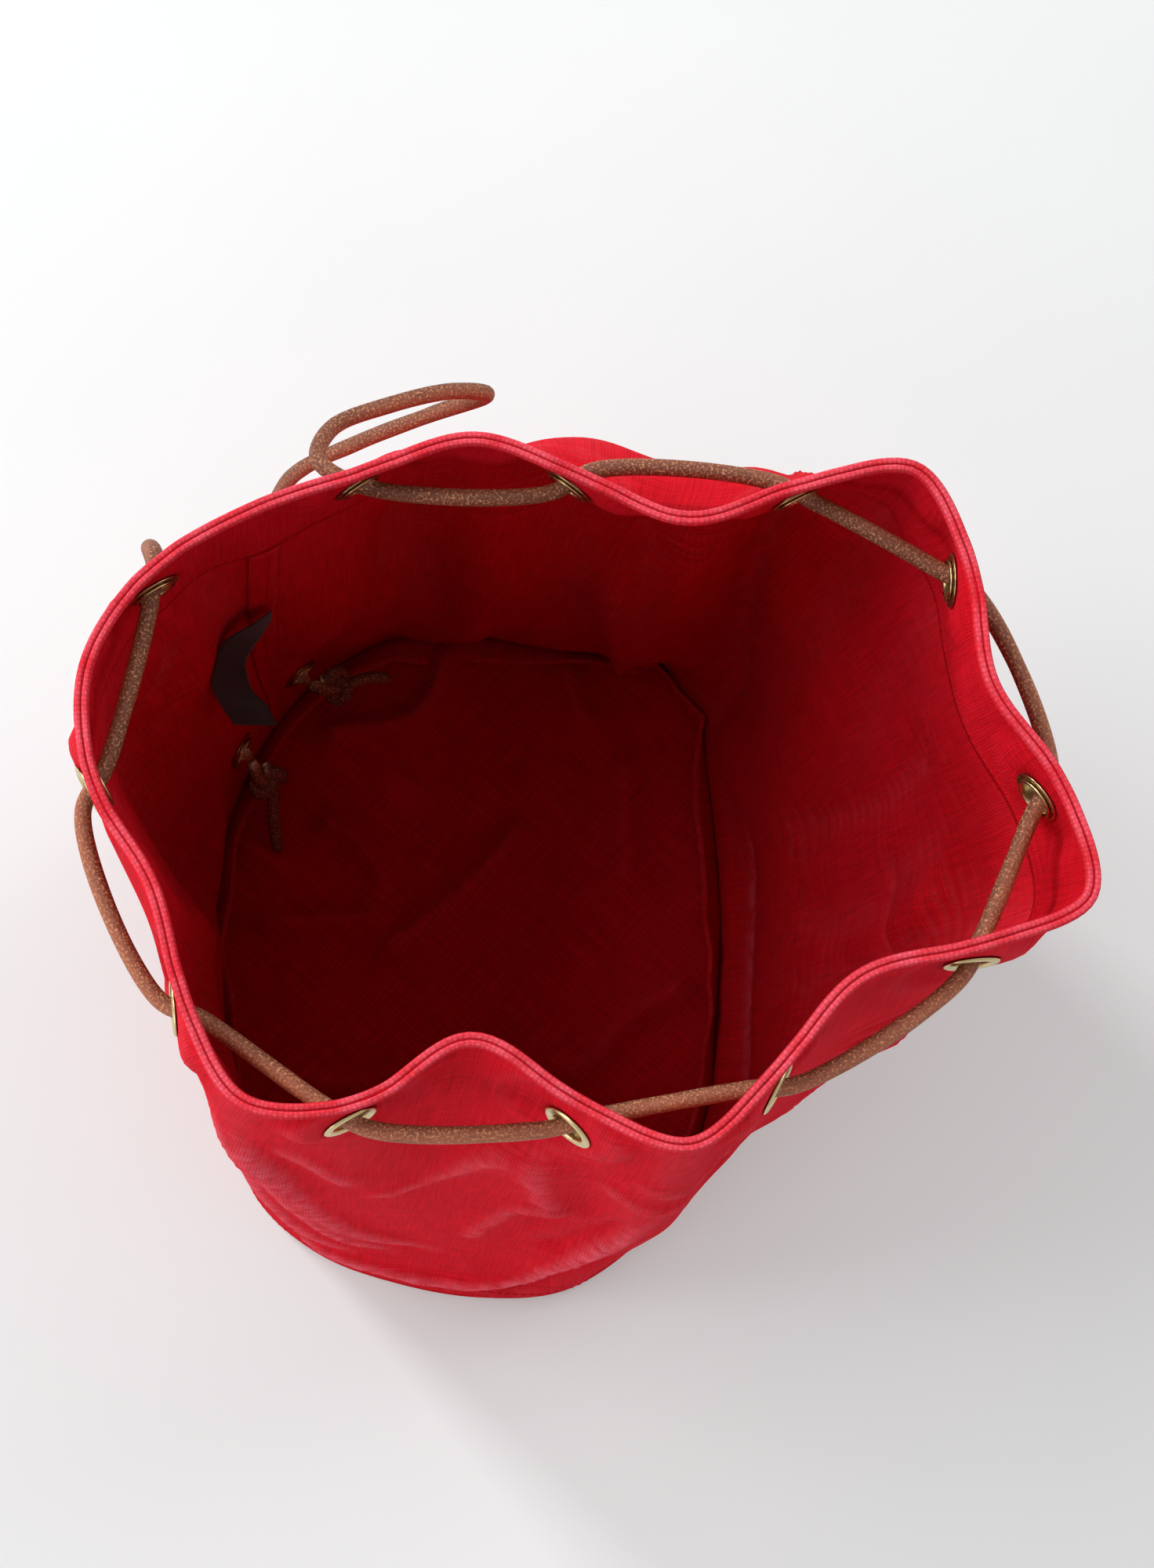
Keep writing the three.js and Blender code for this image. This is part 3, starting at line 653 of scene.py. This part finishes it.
# Painted light and shade: the thread is lighter on the crests of the plies and darker in the grooves
# between them
ply_painted_light_and_shade = add(tree, "ShaderNodeMix", {0: ply.outputs["Fac"], 6: srgb("#A80D18"), 7: srgb("#DA1A28")},
           data_type="RGBA")
bump = add(tree, "ShaderNodeBump", {"Height": ply.outputs["Fac"], "Distance": 0.1 * MM, "Strength": 0.6})
spun = add(tree, "ShaderNodeBsdfPrincipled", {
    "Base Color": ply_painted_light_and_shade.outputs[2], "Roughness": 0.8, "Specular IOR Level": 0.03, "Normal": bump.outputs[0]})
add(tree, "ShaderNodeOutputMaterial", {"Surface": spun.outputs[0]})
stitch_length, stitch_pitch, thread_radius = 2.6 * MM, 3.4 * MM, 0.26 * MM
stitch_bend = np.linspace(0, math.pi, 6)


def add_stitches(name, across, up, out, round_way):
    """A row of stitches on the wall: their middles round and up, their height, and which way they run."""
    points, faces, uv = [], [], []
    lift = out + np.sign(out) * (np.sin(stitch_bend) * 0.45 * MM - 0.25 * MM)
    along = np.linspace(-0.5, 0.5, len(stitch_bend)) * stitch_length
    ring_faces, corners = grid_faces(len(stitch_bend), 6, True)
    for place_round, place_up in zip(across, up):
        way = (place_round + along * round_way, place_up + along * (not round_way))
        faces.append(ring_faces + len(points) * len(stitch_bend) * 6)
        points.append(tube(on_wall(*way, lift), np.full(6, thread_radius), 6).reshape(-1, 3))
        uv.append(corners * [0.3 * MM, 0.5 * MM])
    piece = add_piece(name, np.vstack(points), np.vstack(faces), thread, "canvas", np.vstack(uv))
    return piece


row_round = np.arange(0, girth - stitch_pitch / 2, stitch_pitch)
inner_face = -(2 * canvas_thickness + layer_gap)
for name, up, out in (("facing_stitches", height - 45 * MM, inner_face - 0.02 * MM),
                      ("base_stitches", 7 * MM, 0.02 * MM)):
    add_stitches(name, row_round, np.full(len(row_round), up), out, True)

# Back seam
# The two ends of the wall are sewn together and their edges turned to one side, inside.
# A row of stitches holds them down, and the cut edge of the canvas is a little frayed.
seam_width = 9 * MM
seam_up = np.arange(14 * MM, height - facing_depth - 2 * MM, 3 * MM)
seam_across = np.linspace(-seam_width, 0.5 * MM, 6)
fray = np.random.default_rng(11).normal(0, 0.35 * MM, len(seam_up))
over_round, over_up = np.meshgrid(seam_across, seam_up)
over_round[:, 0] += fray
raised = -(canvas_thickness + layer_gap) - 0.25 * MM * np.sin(np.linspace(0, math.pi, 6))
seam_grid = on_wall(over_round, over_up, np.broadcast_to(raised, over_round.shape))
faces, corners = grid_faces(len(seam_up), 6, False)
seam_wear = np.zeros(over_round.shape)
seam_wear[:, [0, -1]] = 0.1
seam = add_piece("back_seam_allowance", seam_grid.reshape(-1, 3), faces, canvas, "canvas",
                 corners * [seam_width / 5, 3 * MM], wear=seam_wear.reshape(-1))
solid = seam.modifiers.new("thickness", "SOLIDIFY")
solid.thickness = canvas_thickness
solid.offset = -1
stitch_up = np.arange(18 * MM, height - facing_depth - 6 * MM, stitch_pitch)
add_stitches("back_seam_stitches", np.full(len(stitch_up), -6 * MM), stitch_up,
             -(2 * canvas_thickness + layer_gap + 0.3 * MM), False)

# Base seam edge
# The turned edges of wall and base stand up inside, all round the foot. They are two layers of
# canvas sewn together, so they lean in and wave a little, and their cut edge is rubbed.
edge_height = 10 * MM
edge_share = np.linspace(0, 1, 6)
edge_chance = np.random.default_rng(12)
lean_places = [0, 30, 55, 120, 300, 420, 490, 530, 580, 600, 610, 640, 655, 690, 735, 770, 810, 840]
lean_sizes = [7, 8, 5, 4, 4, 6, 8, 11, 12, 9, 5, 3, 2, 4, 12, 11, 8, 7]
lean = np.interp(around / MM, lean_places, lean_sizes) * MM
crown = edge_chance.uniform(-1.2, 0.6, 60)
crown = np.interp(around, np.linspace(0, girth, 61), np.append(crown, crown[0])) * MM
foot_up = 2.6 * MM + edge_share[:, None] * (edge_height + crown)[None, :]
foot_in = -(canvas_thickness + layer_gap) - lean[None, :] * edge_share[:, None] ** 1.5
edge_grid = on_wall(np.broadcast_to(around, foot_up.shape), foot_up, foot_in)
faces, corners = grid_faces(len(edge_share), columns, True)
edge_wear = np.zeros(foot_up.shape)
edge_wear[-1] = 0.12
seam_edge = add_piece("base_seam_edge", edge_grid.reshape(-1, 3), faces, canvas, "canvas",
                      corners * [cell[0], edge_height / 5], wear=edge_wear.reshape(-1))
solid = seam_edge.modifiers.new("thickness", "SOLIDIFY")
solid.thickness = 2 * canvas_thickness
solid.offset = -1
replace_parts(seam_edge, "base_seam_binding")

# Base
# An oval of doubled canvas, sewn to the foot of the wall. It lies on the floor and is slack,
# so it is wrinkled between its seams.
base_rings = 48
foot = wall[0]
middle = np.array([*foot.mean(axis=0)[:2], 0])
shares = 1 - np.arange(base_rings) / base_rings
base_grid = middle + (foot - middle) * shares[:, None, None]
base_points = np.vstack([base_grid.reshape(-1, 3), middle])
base_folds = [
    ([[90, 124], [68, 110], [50, 109], [24, 130]], 13, 7), ([[120, 84], [103, 62], [98, 50]], 12, 6),
    ([[-30, 50], [-20, 47], [12, 41], [40, 42]], 13, 7), ([[-40, 134], [-38, 124], [-36, 108]], 10, 6),
    ([[-8, 106], [-6, 94], [-10, 74]], 11, 6), ([[-58, 96], [-52, 90], [-28, 66]], 11, 6),
    ([[-20, -44], [-10, -46], [12, -47], [34, -54]], 12, 7), ([[92, 24], [83, 17], [58, -6]], 10, 9),
    ([[-100, 46], [-84, 22], [-70, 14]], 10, 8), ([[-66, -30], [-44, -20], [-18, -24]], 9, 9),
]
swell = np.zeros(len(base_points))
for line, stand, reach in base_folds:
    line = curve_through(np.array(line, float), steps=10) * MM
    off = np.linalg.norm(base_points[:, None, :2] - line[None], axis=2).min(axis=1)
    swell += stand * MM * np.exp(-(off / (reach * MM)) ** fold_sharpness)
from_edge = np.append(np.repeat(1 - shares, columns), 1)
base_points[:, 2] = 2.2 * MM + swell * smooth_step(from_edge / 0.12)
faces, _ = grid_faces(base_rings, columns, True)
inner_ring = (base_rings - 1) * columns + np.arange(columns)
fan = np.column_stack([inner_ring, np.roll(inner_ring, -1), np.full(columns, len(base_points) - 1)])
base_faces = faces.tolist() + fan.tolist()
base_uv = np.concatenate([base_points[face, :2] for face in base_faces])
base = add_piece("canvas_base", base_points, base_faces, canvas, "canvas", base_uv,
                 wear=np.clip(swell / (14 * MM), 0, 1) ** 3 * 0.15)
solid = base.modifiers.new("thickness", "SOLIDIFY")
solid.thickness = 1.8 * MM
solid.offset = -1
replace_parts(base, "base_panel")

# Eyelets
# Two-part brass eyelets, stamped from thin sheet: a domed flange outside, a barrel through the cloth,
# and its end rolled over a washer inside. Twelve are in the mouth and two low in the back.
# Lacquered brass, tumbled bright: pale gold, with fine scuffs.
brass, tree = new_material("stamped_brass")
place = add(tree, "ShaderNodeTexCoord").outputs["Object"]
scuff = add(tree, "ShaderNodeTexNoise", {"Vector": place, "Scale": 1 / (1.5 * MM), "Detail": 4})
tarnish = add(tree, "ShaderNodeTexNoise", {"Vector": place, "Scale": 1 / (9 * MM), "Detail": 3})
gold = add(tree, "ShaderNodeMix", {0: tarnish.outputs["Fac"], 6: srgb("#DCCB9C"), 7: srgb("#C9B27C")},
           data_type="RGBA")
dull = add(tree, "ShaderNodeMapRange", {0: scuff.outputs["Fac"], 1: 0.3, 2: 0.7, 3: 0.2, 4: 0.42})
bump = add(tree, "ShaderNodeBump", {"Height": scuff.outputs["Fac"], "Distance": 0.04 * MM, "Strength": 0.4})
metal = add(tree, "ShaderNodeBsdfPrincipled", {
    "Base Color": gold.outputs[2], "Metallic": 1.0, "Roughness": dull.outputs[0],
    "Normal": bump.outputs[0]})
add(tree, "ShaderNodeOutputMaterial", {"Surface": metal.outputs[0]})
# Profiles in mm: distance from the axis, and outwards from the outer face of the cloth;
# the last ones are measured from the inner face
flange_profile = [[5.85, 0.3], [7.6, 0.3], [8.25, 0.32], [8.38, 0.52], [8.15, 0.86], [7.6, 1.12],
                  [6.9, 1.24], [6.2, 1.18], [5.62, 0.9], [5.28, 0.42], [5.2, -0.2]]
roll_profile = [[5.2, -0.3], [5.3, -1.1], [5.6, -1.65], [6.1, -1.9], [6.6, -1.76], [6.75, -1.45],
                [6.5, -1.22], [5.9, -1.2], [5.8, -0.4]]
washer_profile = [[6.1, -0.32], [6.06, -0.6], [6.15, -0.88], [6.7, -0.92], [7.7, -0.88], [8.2, -0.76],
                  [8.32, -0.58], [8.2, -0.36], [7.5, -0.3]]


def add_turned(name, profile, seat):
    """A ring turned from a closed profile, placed on an eyelet's axis."""
    sides = 48
    turn = np.arange(sides) / sides * 2 * math.pi
    side = np.cross([0, 0, 1], seat["axis"])
    side /= np.linalg.norm(side)
    over = np.cross(seat["axis"], side)
    spokes = np.outer(np.cos(turn), side) + np.outer(np.sin(turn), over)
    from_axis, along_axis = profile[:, 0, None, None], profile[:, 1, None, None]
    rings = seat["centre"] + from_axis * spokes[None] + along_axis * seat["axis"]
    faces, _ = grid_faces(len(profile) + 1, sides, True)
    faces %= len(profile) * sides
    return add_piece(name, rings.reshape(-1, 3), faces[:, ::-1], brass, "brass")


for name, seat in seats.items():
    behind = [0, -seat["depth"] / MM]
    shell = np.array(flange_profile + (np.array(roll_profile) + behind).tolist()) * MM
    ring = (np.array(washer_profile) + behind) * MM
    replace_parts(add_turned(name.replace("eyelet", "brass_eyelet"), shell, seat), name)
    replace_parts(add_turned(name.replace("eyelet", "brass_washer"), ring, seat), f"{name}_washer")

# Label
# A short length of black woven ribbon, sewn by one end into the back seam. It is bare.
# It starts upright along the seam and twists until its free end lies flat.
label_left = np.array([[10, 118, 252], [3, 122, 244], [-6, 127, 237], [-14, 127, 229],
                       [-20, 123, 221], [-22, 118, 214], [-23, 113, 206]]) * MM
label_right = np.array([[8, 116, 252], [3, 117, 244], [-3, 118, 237], [-8, 118, 229],
                        [-11, 113, 221], [-11, 107, 214], [-13, 101, 206]]) * MM
label_twist = np.array([8, 8, 7, 6, 5, 3, 2])[:, None] * MM
sight = label_left.mean(axis=0) - np.array(camera_place)
sight /= np.linalg.norm(sight)
label_steps, label_threads = 49, 13
edges = [at_shares(curve_through(edge), np.linspace(0, 1, label_steps))[0]
         for edge in (label_left - sight * label_twist, label_right + sight * label_twist)]
share = np.linspace(0, 1, label_threads)[None, :, None]
label_grid = edges[0][:, None] * (1 - share) + edges[1][:, None] * share
# It keeps clear of the wall behind it
clearance = canvas_thickness + 0.8 * MM
near_wall = wall[::2, np.r_[-40:60]].reshape(-1, 3)
near_normal = wall_normal[::2, np.r_[-40:60]].reshape(-1, 3)
push = np.zeros((label_steps, 3))
for step, line in enumerate(label_grid):
    for point in line:
        k = np.argmin(((near_wall - point) ** 2).sum(axis=1))
        too_far = (point - near_wall[k]).dot(near_normal[k]) + clearance
        if too_far > np.linalg.norm(push[step]):
            push[step] = near_normal[k] * too_far
for _ in range(8):
    push[1:-1] = (push[:-2] + 2 * push[1:-1] + push[2:]) / 4
label_grid = label_grid - push[:, None]
# Polyester ribbon, densely woven: near black, with fine ribs across it, painted lighter on their crests and
# darker between them as light and shade, and a faint shine along its folds.
ribbon, tree = new_material("woven_polyester_ribbon")
place = add(tree, "ShaderNodeUVMap", uv_map="cloth").outputs["UV"]
rib = add(tree, "ShaderNodeTexWave", {"Vector": place, "Scale": 0.32 / (0.6 * MM), "Distortion": 0.4},
          bands_direction="Y")
lint = add(tree, "ShaderNodeTexNoise", {"Vector": place, "Scale": 1 / (0.8 * MM), "Detail": 3})
# Painted light and shade: the near-black is lighter on the crests of the ribs and darker in the grooves
# between them
rib_painted_light_and_shade = add(tree, "ShaderNodeMix", {0: rib.outputs["Fac"], 6: srgb("#101312"), 7: srgb("#2A302D")},
            data_type="RGBA")
dusty = add(tree, "ShaderNodeMapRange", {0: lint.outputs["Fac"], 1: 0.55, 2: 0.8, 3: 0, 4: 0.25})
dusted = add(tree, "ShaderNodeMix", {0: dusty.outputs[0], 6: rib_painted_light_and_shade.outputs[2], 7: srgb("#565C58")},
             data_type="RGBA")
bump = add(tree, "ShaderNodeBump", {"Height": rib.outputs["Fac"], "Distance": 0.12 * MM, "Strength": 0.7})
woven = add(tree, "ShaderNodeBsdfPrincipled", {
    "Base Color": dusted.outputs[2], "Roughness": 0.55, "Normal": bump.outputs[0], "Sheen Weight": 0.15})
add(tree, "ShaderNodeOutputMaterial", {"Surface": woven.outputs[0]})
faces, corners = grid_faces(label_steps, label_threads, False)
label = add_piece("ribbon_label", label_grid.reshape(-1, 3), faces, ribbon, "ribbon",
                  corners * [1.4 * MM, 1.1 * MM])
solid = label.modifiers.new("thickness", "SOLIDIFY")
solid.thickness = 0.45 * MM
solid.offset = 0
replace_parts(label, "label")

# Floor
# A plain pale studio floor of painted board, wide enough to fill the view. The camera sees it mostly
# as it is lit, with a little plain white mixed in, so that it stays pale and keeps the bag's shadow.
floor_material, tree = new_material("studio_floor")
place = add(tree, "ShaderNodeNewGeometry").outputs["Position"]
mottle = add(tree, "ShaderNodeTexNoise", {"Vector": place, "Scale": 6, "Detail": 4})
white = add(tree, "ShaderNodeMix", {0: mottle.outputs["Fac"], 6: srgb("#DADDDE"), 7: srgb("#E0E2E2")},
            data_type="RGBA")
paint = add(tree, "ShaderNodeBsdfPrincipled", {"Base Color": white.outputs[2], "Roughness": 0.8,
                                               "Specular IOR Level": 0.1})
glow = add(tree, "ShaderNodeEmission", {"Color": white.outputs[2], "Strength": 1.0})
light_path = add(tree, "ShaderNodeLightPath")
seen = add(tree, "ShaderNodeMath", {0: light_path.outputs["Is Camera Ray"],
                                    1: light_path.outputs["Is Glossy Ray"]}, operation="MAXIMUM")
seen = add(tree, "ShaderNodeMath", {0: seen.outputs[0],
                                    1: light_path.outputs["Is Transmission Ray"]}, operation="MAXIMUM")
white_share = 0.15
whiteness = add(tree, "ShaderNodeMath", {0: seen.outputs[0], 1: white_share}, operation="MULTIPLY")
board = add(tree, "ShaderNodeMixShader", {0: whiteness.outputs[0], 1: paint.outputs[0], 2: glow.outputs[0]})
add(tree, "ShaderNodeOutputMaterial", {"Surface": board.outputs[0]})
half = 3.0
mesh = bpy.data.meshes.new("floor")
floor_corners = [(-half, -half, 0), (half, -half, 0), (half, half, 0), (-half, half, 0)]
mesh.from_pydata(floor_corners, [], [(0, 1, 2, 3)])
mesh.materials.append(floor_material)
floor = bpy.data.objects.new("floor", mesh)
bpy.context.scene.collection.objects.link(floor)

# Studio light
# A small lamp behind the bag casts the floor's shadow. Two soft ones, high on the left and on the right,
# light the inner walls, a low one lights the front from the left, and the room is pale all round.
for name, spot, size, power in (
        ("key", (0.1, 2.1, 1.6), 0.4, 30), ("left", (-0.6, 0.95, 2.1), 0.9, 18),
        ("right", (1.8, -0.5, 2.0), 1.2, 18), ("front", (-1.9, 0.5, 0.7), 1.0, 9)):
    lamp = bpy.data.objects.new(name, bpy.data.lights.new(name, "AREA"))
    lamp.data.size = size
    lamp.data.energy = power
    lamp.location = spot
    lamp.rotation_euler = (Vector((0, 0, 0.25)) - lamp.location).to_track_quat("-Z", "Y").to_euler()
    bpy.context.scene.collection.objects.link(lamp)
world = bpy.data.worlds.new("room")
bpy.context.scene.world = world
world.use_nodes = True
world.node_tree.nodes["Background"].inputs["Color"].default_value = srgb("#FFFFFF")
world.node_tree.nodes["Background"].inputs["Strength"].default_value = 0.54
